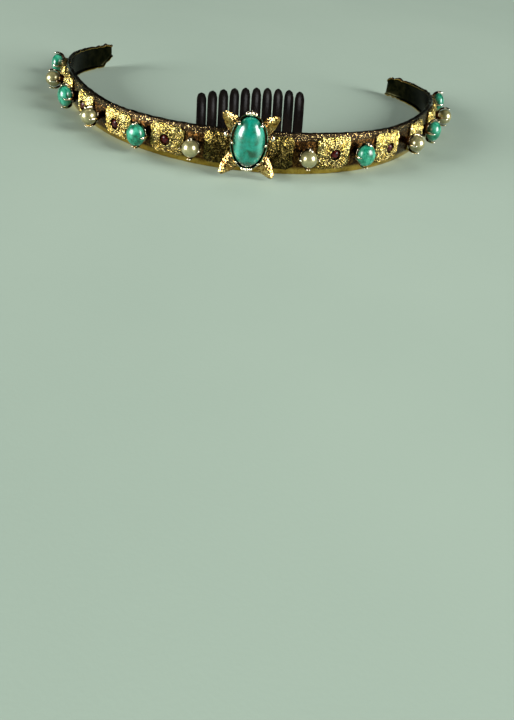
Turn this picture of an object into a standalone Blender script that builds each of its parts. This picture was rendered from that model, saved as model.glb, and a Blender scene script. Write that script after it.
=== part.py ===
"""A horseshoe tiara: a stamped convex band hollow behind, with textured panels, claw-set pearls and
turquoises, small dark red stones, a star ornament round an oval cabochon, and a hair comb.

Sizes are in millimetres until MM turns them into metres. Stations run round the band from its
front, minus to the left, plus to the right; out is measured away from the head."""

import math

import bmesh
import bpy
from mathutils import Matrix, Vector

MM = 0.001
GAP = 0.3

# The face line in plan: three tangent arcs on each side of the front, each with the station it ends at.
ARC_RADII = (62.0, 86.0, 28.1)
ARC_ENDS = (55.7, 107.7, 136.6)

# The band's convex section: the face stands at FACE_OUT, the lips turn back to their own line.
FACE_OUT = -0.1
LIP_WIDTH = 0.8
WALL = 0.8
BULGE = 2.2
SECTION_ANGLES = (-90, -60, -33, -11, 11, 33, 60, 90)
STATION_STEP = 5.1
BAND_ROWS = (  # station, height, lower edge, out of the lips
    (-136.6, 4.7, 3.6, -1.8),
    (-132.2, 8.3, 0.0, -1.9),
    (-118.0, 8.4, 0.0, -2.0),
    (-85.0, 10.6, 0.0, -2.0),
    (-50.0, 10.3, 0.0, -2.0),
    (-25.0, 11.5, 0.0, -2.15),
    (0.0, 12.8, 0.0, -2.3),
    (25.0, 12.6, 0.0, -2.15),
    (50.0, 11.8, 0.0, -2.0),
    (85.0, 11.4, 0.0, -2.0),
    (118.0, 8.2, 0.0, -2.0),
    (134.8, 7.6, 0.0, -1.9),
    (136.6, 6.0, 0.1, -1.8),
)

STONE_LEVEL = 0.555  # share of the band's height
LEFT_STONES = (-17.1, -34.5, -53.9, -72.7, -90.7, -110.9)
RIGHT_STONES = (15.6, 34.3, 57.4, 73.3, 92.5, 112.1)
PEARL_RADIUS = 2.5
PEARL_OUT = 4.45
TURQUOISE_HALF = (2.95, 3.25, 2.3)
TURQUOISE_OUT = 3.9
SEAT_GAP = 0.34
CUP_SIDES = 10
CUP_ROWS = (  # share of the seat's width, share at which the level meets the seat, drop below it
    (0.42, 0.0, 0.9),
    (0.78, 0.68, 0.0),
    (0.68, 0.68, 0.0),
)
CUP_FOOT = (0.34, -0.5)  # share of the seat's width, out
CLAW_THICK = 0.5
CLAW_FOOT = (0.66, 0.95)  # shares of the stone's half width and of its half depth
CLAW_TURNS = (-36, -6, 26)
CLAWS = (  # bearing round the stone, width at the root, width at the tip
    (90, 1.8, 1.3),
    (270, 1.8, 1.3),
    (0, 0.9, 0.6),
    (180, 0.9, 0.6),
)

LEFT_PANELS = (  # station, half width, band left bare above and below together
    (-26.1, 5.8, 2.4),
    (-45.0, 5.8, 2.2),
    (-63.6, 5.4, 2.2),
    (-82.0, 5.6, 2.0),
    (-101.0, 5.6, 1.8),
    (-120.9, 5.6, 1.2),
)
RIGHT_PANELS = (
    (25.0, 5.8, 2.4),
    (46.6, 5.8, 2.2),
    (65.0, 5.4, 2.2),
    (82.9, 5.6, 2.0),
    (102.3, 5.6, 1.8),
    (121.4, 5.6, 1.2),
)
PLAIN_PANELS = (
    (-9.4, 5.2, 2.4),
    (7.1, 5.2, 2.4),
)
PANEL_LEVEL = 0.55
PANEL_RIM = 0.7
PANEL_LIP = 0.45  # height of the panel's upright edge
PANEL_CROWN = 1.6
PANEL_DOME = 2.5  # power of the dome's curve
PANEL_CORNER = 5  # power of the rounded square
PANEL_HOLLOW = 0.06  # how far its sides draw in
PANEL_SIDES = 16
PANEL_EMBED = 0.4
RECESS_RADIUS = 1.6
RECESS_DEPTH = 1.15
BEZEL_RADIUS = 2.05
BEZEL_RISE = 0.2
GARNET_RADIUS = 1.28
GARNET_SIDES = 8
GARNET_CULET = -0.5
GARNET_ROWS = (  # share of the radius, out, turn as a part of a side
    (0.62, 0.6, 0.0),
    (1.0, 0.12, 0.5),
    (1.0, -0.02, 0.5),
)

CENTRE = -1.35  # station of the ornament and the comb
STAR_LEVEL = 10.4
STAR_TIP = (7.7, 8.9)
STAR_ROOT = (2.2, 3.0)
LEAF_ROWS = (  # share of the way to the tip, width, thickness, out
    (0.0, 3.0, 1.3, 3.2),
    (0.3, 4.4, 2.0, 3.8),
    (0.58, 3.9, 1.9, 4.3),
    (0.82, 2.8, 1.5, 4.8),
    (1.0, 1.1, 0.8, 5.2),
)
OVAL_RISE = 1.25
CABOCHON_HALF = (4.5, 7.2)
CABOCHON_ROWS = (  # share of the half width, out
    (0.9, 5.0),
    (1.0, 5.9),
    (0.97, 6.9),
    (0.86, 7.9),
    (0.66, 8.75),
    (0.36, 9.25),
)
CABOCHON_BACK = 5.0
CABOCHON_FRONT = 9.4
OVAL_SIDES = 24
CROWN_ROWS = (  # half width, half height, out, height of the scallops
    (3.9, 6.1, 1.9, 0.0),
    (4.7, 7.2, 3.4, 0.0),
    (5.4, 8.2, 5.8, 0.35),
    (4.95, 7.75, 5.8, 0.35),
    (4.85, 7.55, 4.6, 0.0),
)
CROWN_FLOOR = 4.6
OVAL_CLAW_BEARINGS = (0, 180, 48, 132, 228, 312)
OVAL_CLAW_ROWS = (  # inset from the crown's edge, out, width, thickness
    (0.25, 4.6, 1.1, 0.5),
    (0.12, 6.2, 1.1, 0.5),
    (0.32, 7.1, 1.0, 0.5),
    (0.85, 7.9, 0.7, 0.45),
)
RIM_BEADS = (  # bearing, radius
    (90, 0.85),
    (78, 0.6),
    (102, 0.6),
    (270, 0.75),
    (258, 0.6),
    (282, 0.6),
)
SIDE_BEAD = 0.85
SIDE_BEAD_AT = (6.6, 0.9, 3.4)
SIDE_ARM_ROOT = 3.2
SIDE_ARM_SIZES = ((1.6, 1.0), (1.0, 0.7))
POST_LEVEL = 9.4
POST_RADIUS = 1.2
POST_FRONT = 2.4
POST_SIDES = 12
RIVET_RADIUS = 1.6
RIVET_OUTS = (-1.95, -1.35)
RIVET_HOLE_OUTS = (-3.0, 3.0)

TEETH = 10
TOOTH_PITCH = 3.4
TOOTH_TIP_BACK = 26.0
TOOTH_TIP_LEVEL = 17.3
TOOTH_TIP_SLOPE = 0.112
TOOTH_TIP_ARCH = 0.006
TOOTH_BOW = 1.4
TOOTH_ROWS = (  # share of the length, width, thickness
    (0.0, 2.8, 1.9),
    (0.2, 3.0, 1.85),
    (0.5, 3.05, 1.75),
    (0.82, 3.0, 1.55),
    (0.94, 2.3, 1.2),
    (1.0, 1.0, 0.7),
)
SPINE_OUT = -3.9
SPINE_LEVEL = 5.6
SPINE_SIZE = (2.2, 3.4)
SPINE_END = 21.8
SPINE_STEPS = 14
TOOTH_ROOT_OUT = -3.6
CLIP_STATIONS = (19.2, 21.3)  # measured from the centre
CLIP_WALL = 0.8
CLIP_FRONT = -0.6


def plan(station):
    """Point of the face line and its heading at a station."""
    side = -1 if station < 0 else 1
    x = y = heading = start = 0.0
    for radius, end in zip(ARC_RADII, ARC_ENDS):
        turn = (min(abs(station), end) - start) / radius
        x += radius * (math.sin(heading + turn) - math.sin(heading))
        y += radius * (math.cos(heading) - math.cos(heading + turn))
        heading += turn
        start = end
        if abs(station) <= end:
            break
    return side * x, y, side * heading


def on_band(station, out, level):
    x, y, heading = plan(station)
    return Vector((x + out * math.sin(heading), y - out * math.cos(heading), level))


def frame_at(station, out, level):
    """Axes of a piece on the band: x along it, y up, z out."""
    heading = plan(station)[2]
    along = Vector((math.cos(heading), math.sin(heading), 0))
    up = Vector((0, 0, 1))
    columns = Matrix((along, up, along.cross(up))).transposed().to_4x4()
    columns.translation = on_band(station, out, level) * MM
    return columns


def band_row(station):
    """Height, lower edge and out of the lips of the band at a station."""
    for low, high in zip(BAND_ROWS, BAND_ROWS[1:]):
        if station <= high[0] or high is BAND_ROWS[-1]:
            share = (station - low[0]) / (high[0] - low[0])
            return [a + share * (b - a) for a, b in zip(low[1:], high[1:])]


def face_out(station, level):
    """How far out the band's face stands at a level."""
    height, low, lips = band_row(station)
    share = min(1.0, abs(2 * (level - low) / height - 1))
    start = lips + LIP_WIDTH
    return start + (FACE_OUT - start) * (1 - share**BULGE) ** (1 / BULGE)


def signed_power(value, power):
    return math.copysign(abs(value) ** power, value)


def section(station):
    """The section's outer and inner lines, each from the lower lip to the upper."""
    height, low, lips = band_row(station)
    start = lips + LIP_WIDTH
    lines = []
    for inset in (0.0, WALL):
        half = height / 2 - inset
        line = [(lips, low + inset)]
        for degrees in SECTION_ANGLES:
            angle = math.radians(degrees)
            reach = (FACE_OUT - start - inset) * abs(math.cos(angle)) ** (2 / BULGE)
            rise = half * signed_power(math.sin(angle), 2 / BULGE)
            line.append((start + reach, low + height / 2 + rise))
        line.append((lips, low + height - inset))
        lines.append([on_band(station, out, level) for out, level in line])
    return lines


def ring(half_width, half_height, out, sides, phase=0.0):
    return [
        Vector(
            (
                half_width * math.cos(math.tau * (i + phase) / sides),
                half_height * math.sin(math.tau * (i + phase) / sides),
                out,
            )
        )
        for i in range(sides)
    ]


def material(name, colour, roughness, metallic=0.0):
    made = bpy.data.materials.new(name)
    made.use_nodes = True
    shader = made.node_tree.nodes["Principled BSDF"]
    shader.inputs["Base Color"].default_value = (*colour, 1)
    shader.inputs["Roughness"].default_value = roughness
    shader.inputs["Metallic"].default_value = metallic
    return made


def add_mesh(name, build, collection, look):
    """An object from a function that fills a bmesh in millimetres."""
    bm = bmesh.new()
    build(bm)
    bmesh.ops.scale(bm, vec=(MM, MM, MM), verts=bm.verts)
    bmesh.ops.recalc_face_normals(bm, faces=bm.faces)
    mesh = bpy.data.meshes.new(name)
    bm.to_mesh(mesh)
    bm.free()
    mesh.materials.append(look)
    made = bpy.data.objects.new(name, mesh)
    collection.objects.link(made)
    return made


def skin(bm, rings):
    """Faces through rings of equal count; a ring of one point closes an end, others are capped."""
    loops = [[bm.verts.new(point) for point in points] for points in rings]
    for first, second in zip(loops, loops[1:]):
        count = max(len(first), len(second))
        for i in range(count):
            j = (i + 1) % count
            corners = [first[i % len(first)], first[j % len(first)]]
            corners += [second[j % len(second)], second[i % len(second)]]
            bm.faces.new(list(dict.fromkeys(corners)))
    for loop in (loops[0], loops[-1]):
        if len(loop) > 1:
            bm.faces.new(loop)


def bar(bm, path, sizes, side, sides=8):
    """A bar along a path; its widths lie along side and its depths square to it."""
    rings = []
    for i, (point, (width, depth)) in enumerate(zip(path, sizes)):
        ahead = path[min(i + 1, len(path) - 1)] - path[max(i - 1, 0)]
        normal = side.cross(ahead).normalized()
        across = ahead.cross(normal).normalized()
        reach = 1 / math.cos(math.pi / sides)
        rings.append(
            [
                point + across * width / 2 * reach * math.cos(angle)
                + normal * depth / 2 * reach * math.sin(angle)
                for angle in (math.tau * (k + 0.5) / sides for k in range(sides))
            ]
        )
    skin(bm, rings)


def ball(bm, centre, radius, sides=10, rings=6):
    at = Matrix.Translation(centre)
    bmesh.ops.create_uvsphere(bm, u_segments=sides, v_segments=rings, radius=radius, matrix=at)


def band_shell(bm):
    stations = [BAND_ROWS[0][0]]
    for low, high in zip(BAND_ROWS, BAND_ROWS[1:]):
        steps = max(1, round((high[0] - low[0]) / STATION_STEP))
        stations += [low[0] + (high[0] - low[0]) * (i + 1) / steps for i in range(steps)]
    rows = [
        [[bm.verts.new(point) for point in line] for line in section(station)]
        for station in stations
    ]
    for (outer, inner), (next_outer, next_inner) in zip(rows, rows[1:]):
        around = outer + inner[::-1]
        next_around = next_outer + next_inner[::-1]
        for i in range(len(around)):
            j = (i + 1) % len(around)
            bm.faces.new((around[i], around[j], next_around[j], next_around[i]))
    for outer, inner in (rows[0], rows[-1]):
        for i in range(len(outer) - 1):
            bm.faces.new((outer[i], outer[i + 1], inner[i + 1], inner[i]))


def panel_outline(half_width, half_height, angle):
    """A square with rounded, slightly spread corners and hollow sides."""
    along, up = math.cos(angle), math.sin(angle)
    reach = (abs(along) ** PANEL_CORNER + abs(up) ** PANEL_CORNER) ** (-1 / PANEL_CORNER)
    reach *= 1 - PANEL_HOLLOW * (1 + math.cos(4 * angle)) / 2
    return half_width * reach * along, half_height * reach * up


def panel_level(station):
    height, low, _ = band_row(station)
    return low + height * PANEL_LEVEL


def panel(bm, station, half_width, bare, has_stone):
    half_height = (band_row(station)[0] - bare) / 2
    centre = panel_level(station)

    def point(share, angle, lift, core=0.0):
        along, up = panel_outline(half_width, half_height, angle)
        along = core * (1 - share) * math.cos(angle) + share * along
        up = core * (1 - share) * math.sin(angle) + share * up
        face = face_out(station + along, centre + up)
        return on_band(station + along, face + lift, centre + up)

    def rounded(share):
        return PANEL_RIM + (PANEL_CROWN - PANEL_RIM) * (1 - share**PANEL_DOME)

    angles = [math.tau * i / PANEL_SIDES for i in range(PANEL_SIDES)]
    floor = PANEL_CROWN - RECESS_DEPTH
    rings = [[point(0, 0, -PANEL_EMBED)]]
    rings += [[point(share, a, -PANEL_EMBED) for a in angles] for share in (0.5, 0.98)]
    rings += [[point(1, a, PANEL_LIP) for a in angles]]
    rings += [[point(0.94, a, rounded(0.94)) for a in angles]]
    if has_stone:
        rings += [[point(0.5, a, rounded(0.5), BEZEL_RADIUS) for a in angles]]
        rings += [[point(0, a, PANEL_CROWN + BEZEL_RISE, BEZEL_RADIUS) for a in angles]]
        rings += [[point(0, a, PANEL_CROWN + BEZEL_RISE, RECESS_RADIUS) for a in angles]]
        rings += [[point(0, a, floor, RECESS_RADIUS) for a in angles]]
        rings += [[point(0, 0, floor)]]
    else:
        rings += [[point(share, a, rounded(share)) for a in angles] for share in (0.65, 0.3)]
        rings += [[point(0, 0, PANEL_CROWN)]]
    skin(bm, rings)


def cup(bm, half, out):
    """A turned cup on a post behind a stone, its seat clear of the stone; z is out from the face line."""
    width, height, depth = (size + SEAT_GAP for size in half)

    def seat(share):
        return out - depth * math.sqrt(1 - share**2)

    profile = [CUP_FOOT] + [(share, seat(at) - drop) for share, at, drop in CUP_ROWS]
    rings = [ring(width * share, height * share, level, CUP_SIDES) for share, level in profile]
    skin(bm, rings + [[Vector((0, 0, seat(0)))]])


def claw(bm, half, out, bearing, widths):
    """A claw that rises past a stone and closes over its front."""
    angle = math.radians(bearing)
    reach = SEAT_GAP + CLAW_THICK / 2
    away = Vector((math.cos(angle), math.sin(angle), 0))
    radius = half[0] if abs(away.x) > 0.5 else half[1]
    path = [away * radius * CLAW_FOOT[0] + Vector((0, 0, out - half[2] * CLAW_FOOT[1]))]
    for degrees in CLAW_TURNS:
        turn = math.radians(degrees)
        across = (radius + reach) * math.cos(turn)
        path.append(away * across + Vector((0, 0, out + (half[2] + reach) * math.sin(turn))))
    steps = len(path) - 1
    sizes = [
        (widths[0] + (widths[1] - widths[0]) * i / steps, CLAW_THICK) for i in range(len(path))
    ]
    bar(bm, path, sizes, away.cross(Vector((0, 0, 1))), sides=4)


def pearl(bm):
    ball(bm, (0, 0, 0), PEARL_RADIUS, 14, 9)


def turquoise(bm):
    ball(bm, (0, 0, 0), 1.0, 12, 8)
    bmesh.ops.scale(bm, vec=TURQUOISE_HALF, verts=bm.verts)


def garnet(bm):
    """A round stone with a table, a crown of kites and triangles, a girdle and a pavilion."""
    for share, level, phase in GARNET_ROWS:
        for point in ring(GARNET_RADIUS * share, GARNET_RADIUS * share, level, GARNET_SIDES, phase):
            bm.verts.new(point)
    bm.verts.new((0, 0, GARNET_CULET))
    bmesh.ops.convex_hull(bm, input=bm.verts)


def cabochon(bm):
    wide, high = CABOCHON_HALF
    rings = [[Vector((0, 0, CABOCHON_BACK))]]
    rings += [ring(wide * share, high * share, out, OVAL_SIDES) for share, out in CABOCHON_ROWS]
    skin(bm, rings + [[Vector((0, 0, CABOCHON_FRONT))]])


def crown_cup(bm):
    rings = [[Vector((0, 0, CROWN_ROWS[0][2]))]]
    for wide, high, out, scallop in CROWN_ROWS:
        points = ring(wide, high, out, OVAL_SIDES)
        for i, point in enumerate(points):
            point.z += scallop * (-1) ** i
        rings.append(points)
    skin(bm, rings + [[Vector((0, 0, CROWN_FLOOR))]])


def oval_claw(bm, bearing):
    angle = math.radians(bearing)
    wide, high = CROWN_ROWS[2][0], CROWN_ROWS[2][1]
    away = Vector((math.cos(angle), math.sin(angle), 0))
    path = [
        Vector(((wide - inset) * away.x, (high - inset) * away.y, out))
        for inset, out, _, _ in OVAL_CLAW_ROWS
    ]
    sizes = [row[2:] for row in OVAL_CLAW_ROWS]
    bar(bm, path, sizes, away.cross(Vector((0, 0, 1))), sides=6)


def leaf(bm, across, up):
    """A pointed leaf of the star towards one corner."""
    root = Vector((STAR_ROOT[0] * across, STAR_ROOT[1] * up - OVAL_RISE, 0))
    tip = Vector((STAR_TIP[0] * across, STAR_TIP[1] * up - OVAL_RISE, 0))
    path = [root.lerp(tip, row[0]) + Vector((0, 0, row[3])) for row in LEAF_ROWS]
    sizes = [(row[1], row[2]) for row in LEAF_ROWS]
    bar(bm, path, sizes, (tip - root).cross(Vector((0, 0, 1))))


def rim_bead(bm, bearing, radius):
    angle = math.radians(bearing)
    wide, high, out = CROWN_ROWS[2][:3]
    ball(bm, (wide * math.cos(angle), high * math.sin(angle), out), radius, 10, 5)


def side_bead(bm, side):
    across, up, out = SIDE_BEAD_AT
    ball(bm, (side * across, up, out), SIDE_BEAD)


def side_arm(bm, side):
    across, up, out = SIDE_BEAD_AT
    path = [Vector((side * SIDE_ARM_ROOT, up, out)), Vector((side * across, up, out))]
    bar(bm, path, SIDE_ARM_SIZES, Vector((0, 1, 0)), sides=6)


def post(bm, radius, low, high):
    """A round post square to the band at the level of the rivet."""
    at = Matrix.Translation((0, POST_LEVEL - STAR_LEVEL - OVAL_RISE, (low + high) / 2))
    bmesh.ops.create_cone(
        bm,
        cap_ends=True,
        segments=POST_SIDES,
        radius1=radius,
        radius2=radius,
        depth=high - low,
        matrix=at,
    )


def tooth(bm, index):
    across = (index - (TEETH - 1) / 2) * TOOTH_PITCH
    root = on_band(CENTRE + across, TOOTH_ROOT_OUT, SPINE_LEVEL)
    level = TOOTH_TIP_LEVEL + TOOTH_TIP_SLOPE * across - TOOTH_TIP_ARCH * across**2
    tip = Vector((CENTRE + across, TOOTH_TIP_BACK, level))
    path = []
    for share, _, _ in TOOTH_ROWS:
        rise = TOOTH_BOW * 4 * share * (1 - share)
        path.append(root.lerp(tip, share) + Vector((0, 0, rise)))
    bar(bm, path, [row[1:] for row in TOOTH_ROWS], Vector((1, 0, 0)), sides=6)


def spine(bm):
    path = [
        on_band(CENTRE + SPINE_END * (2 * i / SPINE_STEPS - 1), SPINE_OUT, SPINE_LEVEL)
        for i in range(SPINE_STEPS + 1)
    ]
    depth, height = SPINE_SIZE
    bar(bm, path, [(height, depth)] * len(path), Vector((0, 0, 1)))


def clip(bm, station):
    """A loop soldered inside the band round an end of the comb's spine."""
    depth, height = (size / 2 + GAP for size in SPINE_SIZE)
    half = (CLIP_STATIONS[1] - CLIP_STATIONS[0]) / 2
    outs = (SPINE_OUT - depth - CLIP_WALL, SPINE_OUT - depth, SPINE_OUT + depth, CLIP_FRONT)
    levels = (-height - CLIP_WALL, -height, height, height + CLIP_WALL)
    outline = [(outs[0], levels[0]), (outs[3], levels[0]), (outs[3], levels[3]), (outs[0], levels[3])]
    opening = [(outs[1], levels[1]), (outs[2], levels[1]), (outs[2], levels[2]), (outs[1], levels[2])]
    loops = []
    for end, corners in ((-half, outline), (half, outline), (half, opening), (-half, opening)):
        loops.append(
            [bm.verts.new(on_band(station + end, out, SPINE_LEVEL + level)) for out, level in corners]
        )
    for first, second in zip(loops, loops[1:] + loops[:1]):
        for i in range(4):
            bm.faces.new((first[i], first[i - 1], second[i - 1], second[i]))


def collection(name):
    made = bpy.data.collections.new(name)
    bpy.context.scene.collection.children.link(made)
    return made


def hide(made):
    made.hide_render = True
    made.display_type = "WIRE"


def combine(target, others):
    """Unites a body with every object of a collection."""
    for other in others.objects:
        hide(other)
    union = target.modifiers.new("union", "BOOLEAN")
    union.operation = "UNION"
    union.solver = "EXACT"
    union.operand_type = "COLLECTION"
    union.collection = others
    union.use_self = True


def stone_stations():
    """Each claw-set stone: its kind, side, number and station."""
    for side, stations in (("left", LEFT_STONES), ("right", RIGHT_STONES)):
        for i, station in enumerate(stations):
            yield ("pearl", "turquoise")[i % 2], side, i // 2 + 1, station


def stone_panels():
    """Each panel with a stone: its side, number and row."""
    for side, rows in (("left", LEFT_PANELS), ("right", RIGHT_PANELS)):
        for i, row in enumerate(rows):
            yield side, i + 1, row


def stone_level(station):
    height, low, _ = band_row(station)
    return low + height * STONE_LEVEL


def build_band(tiara, gold):
    parts = collection("band_parts")
    for side, number, row in stone_panels():
        add_mesh(f"panel_{side}_{number}", lambda bm: panel(bm, *row, True), parts, gold)
    for row in PLAIN_PANELS:
        add_mesh("panel_plain", lambda bm: panel(bm, *row, False), parts, gold)
    for kind, side, number, station in stone_stations():
        half, out = stone_size(kind)
        at = frame_at(station, 0, stone_level(station))
        name = f"{kind}_{side}_{number}"
        add_mesh(f"cup_{name}", lambda bm: cup(bm, half, out), parts, gold).matrix_world = at
        for bearing, root, tip in CLAWS:
            made = add_mesh(
                f"claw_{name}_{bearing}",
                lambda bm: claw(bm, half, out, bearing, (root, tip)),
                parts,
                gold,
            )
            made.matrix_world = at
    for sign in (-1, 1):
        middle = CENTRE + sign * sum(CLIP_STATIONS) / 2
        add_mesh("comb_clip", lambda bm: clip(bm, middle), parts, gold)
    band = add_mesh("band", band_shell, tiara, gold)
    combine(band, parts)

    cutters = collection("band_cutters")
    hole = add_mesh(
        "rivet_hole", lambda bm: post(bm, POST_RADIUS + GAP, *RIVET_HOLE_OUTS), cutters, gold
    )
    hole.matrix_world = frame_at(CENTRE, 0, STAR_LEVEL + OVAL_RISE)
    hide(hole)
    cut = band.modifiers.new("rivet_hole", "BOOLEAN")
    cut.operation = "DIFFERENCE"
    cut.solver = "EXACT"
    cut.object = hole
    return band


def stone_size(kind):
    if kind == "pearl":
        return (PEARL_RADIUS,) * 3, PEARL_OUT
    return TURQUOISE_HALF, TURQUOISE_OUT


def build_stones(tiara, looks):
    for kind, side, number, station in stone_stations():
        shape = {"pearl": pearl, "turquoise": turquoise}[kind]
        stone = add_mesh(f"{kind}_{side}_{number}", shape, tiara, looks[kind])
        stone.matrix_world = frame_at(station, stone_size(kind)[1], stone_level(station))
    for side, number, (station, _, _) in stone_panels():
        level = panel_level(station)
        out = face_out(station, level) + PANEL_CROWN - RECESS_DEPTH - GARNET_CULET + GAP
        stone = add_mesh(f"garnet_{side}_{number}", garnet, tiara, looks["garnet"])
        stone.matrix_world = frame_at(station, out, level)


def build_centre(tiara, gold, looks):
    at = frame_at(CENTRE, 0, STAR_LEVEL + OVAL_RISE)
    parts = collection("centre_parts")
    for across in (-1, 1):
        for up in (-1, 1):
            add_mesh("leaf", lambda bm: leaf(bm, across, up), parts, gold)
        add_mesh("side_bead", lambda bm: side_bead(bm, across), parts, gold)
        add_mesh("side_arm", lambda bm: side_arm(bm, across), parts, gold)
    for bearing in OVAL_CLAW_BEARINGS:
        add_mesh("oval_claw", lambda bm: oval_claw(bm, bearing), parts, gold)
    for bearing, radius in RIM_BEADS:
        add_mesh("rim_bead", lambda bm: rim_bead(bm, bearing, radius), parts, gold)
    middle = sum(RIVET_OUTS) / 2
    add_mesh("post", lambda bm: post(bm, POST_RADIUS, middle, POST_FRONT), parts, gold)
    add_mesh("rivet", lambda bm: post(bm, RIVET_RADIUS, *RIVET_OUTS), parts, gold)
    setting = add_mesh("centre_setting", crown_cup, tiara, gold)
    combine(setting, parts)
    for made in (*parts.objects, setting):
        made.matrix_world = at
    stone = add_mesh("centre_cabochon", cabochon, tiara, looks["turquoise"])
    stone.matrix_world = at


def build_comb(tiara, plastic):
    parts = collection("comb_parts")
    for index in range(TEETH):
        add_mesh("tooth", lambda bm: tooth(bm, index), parts, plastic)
    combine(add_mesh("comb", spine, tiara, plastic), parts)


def centre_on_origin():
    """Moves everything so that the tiara's box stands centred over the origin."""
    bpy.context.view_layer.update()
    graph = bpy.context.evaluated_depsgraph_get()
    low, high = Vector((1, 1, 1)), Vector((-1, -1, -1))
    for made in bpy.data.collections["tiara"].objects:
        shown = made.evaluated_get(graph)
        for vertex in shown.data.vertices:
            point = shown.matrix_world @ vertex.co
            low = Vector(map(min, low, point))
            high = Vector(map(max, high, point))
    shift = Vector((-(low.x + high.x) / 2, -(low.y + high.y) / 2, -low.z))
    for made in bpy.data.objects:
        made.location += shift


def main():
    for old in list(bpy.data.objects):
        bpy.data.objects.remove(old)
    tiara = collection("tiara")
    gold = material("gold_tone_metal", (0.68, 0.47, 0.16), 0.3, 1.0)
    centre_gold = material("centre_gold_tone_metal", (0.72, 0.5, 0.2), 0.33, 1.0)
    looks = {
        "pearl": material("pearl", (0.72, 0.7, 0.55), 0.22),
        "turquoise": material("turquoise", (0.02, 0.36, 0.3), 0.25),
        "garnet": material("dark_red_glass", (0.12, 0.008, 0.012), 0.08),
    }
    build_band(tiara, gold)
    build_stones(tiara, looks)
    build_centre(tiara, centre_gold, looks)
    build_comb(tiara, material("black_plastic", (0.012, 0.008, 0.007), 0.2))
    centre_on_origin()


main()
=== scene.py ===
"""Looks for the tiara: fine relief, stones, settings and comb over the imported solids, a pale floor,
soft light and the camera. Lengths in the shape functions are millimetres; MM makes them metres.
Stations run round the band from its front, minus to the left, plus to the right; out is measured away
from the head."""

import math

import bmesh
import bpy
import numpy as np
from mathutils import Matrix, Vector, noise


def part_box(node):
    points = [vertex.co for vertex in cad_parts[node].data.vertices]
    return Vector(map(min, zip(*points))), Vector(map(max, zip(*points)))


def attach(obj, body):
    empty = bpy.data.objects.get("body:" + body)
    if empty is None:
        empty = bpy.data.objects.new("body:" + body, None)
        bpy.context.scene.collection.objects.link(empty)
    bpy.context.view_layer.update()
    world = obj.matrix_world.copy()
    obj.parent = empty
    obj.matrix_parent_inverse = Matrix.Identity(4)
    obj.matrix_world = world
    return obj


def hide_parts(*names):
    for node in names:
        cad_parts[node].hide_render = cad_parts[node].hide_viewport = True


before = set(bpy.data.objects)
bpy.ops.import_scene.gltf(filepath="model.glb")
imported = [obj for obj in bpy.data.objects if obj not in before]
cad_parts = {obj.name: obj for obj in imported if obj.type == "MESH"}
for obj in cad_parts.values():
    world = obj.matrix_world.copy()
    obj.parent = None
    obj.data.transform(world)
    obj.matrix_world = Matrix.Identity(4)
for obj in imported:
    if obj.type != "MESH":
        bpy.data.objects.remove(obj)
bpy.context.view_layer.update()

MM = 0.001

# Driving sizes. They are the solids' own, and the tables of rows add finer steps to some of them.
GAP = 0.3
ARC_RADII = (62.0, 86.0, 28.1)
ARC_ENDS = (55.7, 107.7, 136.6)
FACE_OUT = -0.1
LIP_WIDTH = 0.8
WALL = 0.8
BULGE = 2.2
BAND_ROWS = (  # station, height, lower edge, out of the lips
    (-136.6, 4.7, 3.6, -1.8),
    (-132.2, 8.3, 0.0, -1.9),
    (-118.0, 8.4, 0.0, -2.0),
    (-85.0, 10.6, 0.0, -2.0),
    (-50.0, 10.3, 0.0, -2.0),
    (-25.0, 11.5, 0.0, -2.15),
    (0.0, 12.8, 0.0, -2.3),
    (25.0, 12.6, 0.0, -2.15),
    (50.0, 11.8, 0.0, -2.0),
    (85.0, 11.4, 0.0, -2.0),
    (118.0, 8.2, 0.0, -2.0),
    (134.8, 7.6, 0.0, -1.9),
    (136.6, 6.0, 0.1, -1.8),
)
RAGGED_ROWS = ((80, 0.16), (112, 0.62))  # distance from the front, unevenness of the lips
STONE_LEVEL = 0.555  # share of the band's height
LEFT_STONES = (-17.1, -34.5, -53.9, -72.7, -90.7, -110.9)
RIGHT_STONES = (15.6, 34.3, 57.4, 73.3, 92.5, 112.1)
PEARL_RADIUS = 2.5
PEARL_OUT = 4.45
TURQUOISE_HALF = (2.95, 3.25, 2.3)
TURQUOISE_OUT = 3.9
SEAT_GAP = 0.34
CUP_FOOT = (0.34, -0.5)  # share of the seat's width, out
CLAW_THICK = 0.5
CLAW_FOOT = (0.66, 0.95)  # shares of the stone's half width and of its half depth
CLAW_TURNS = (-36, -20, -4, 12, 28)
CLAWS = (  # bearing round the stone, width at the root, width at the tip
    (90, 1.8, 1.3),
    (270, 1.8, 1.3),
    (0, 0.9, 0.6),
    (180, 0.9, 0.6),
)
LEFT_PANELS = (  # station, half width, band left bare above and below together
    (-26.1, 5.8, 2.4),
    (-45.0, 5.8, 2.2),
    (-63.6, 5.4, 2.2),
    (-82.0, 5.6, 2.0),
    (-101.0, 5.6, 1.8),
    (-120.9, 5.6, 1.2),
)
RIGHT_PANELS = (
    (25.0, 5.8, 2.4),
    (46.6, 5.8, 2.2),
    (65.0, 5.4, 2.2),
    (82.9, 5.6, 2.0),
    (102.3, 5.6, 1.8),
    (121.4, 5.6, 1.2),
)
PLAIN_PANELS = (
    (-9.4, 5.2, 2.4),
    (7.1, 5.2, 2.4),
)
PANEL_LEVEL = 0.55
PANEL_RIM = 0.7
PANEL_LIP = 0.45
PANEL_CROWN = 1.6
PANEL_DOME = 2.5
PANEL_CORNER = 5
PANEL_HOLLOW = 0.06
PANEL_EMBED = 0.4
RECESS_DEPTH = 1.15
BEZEL_RADIUS = 2.05
BEZEL_GRAINS = 9
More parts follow.
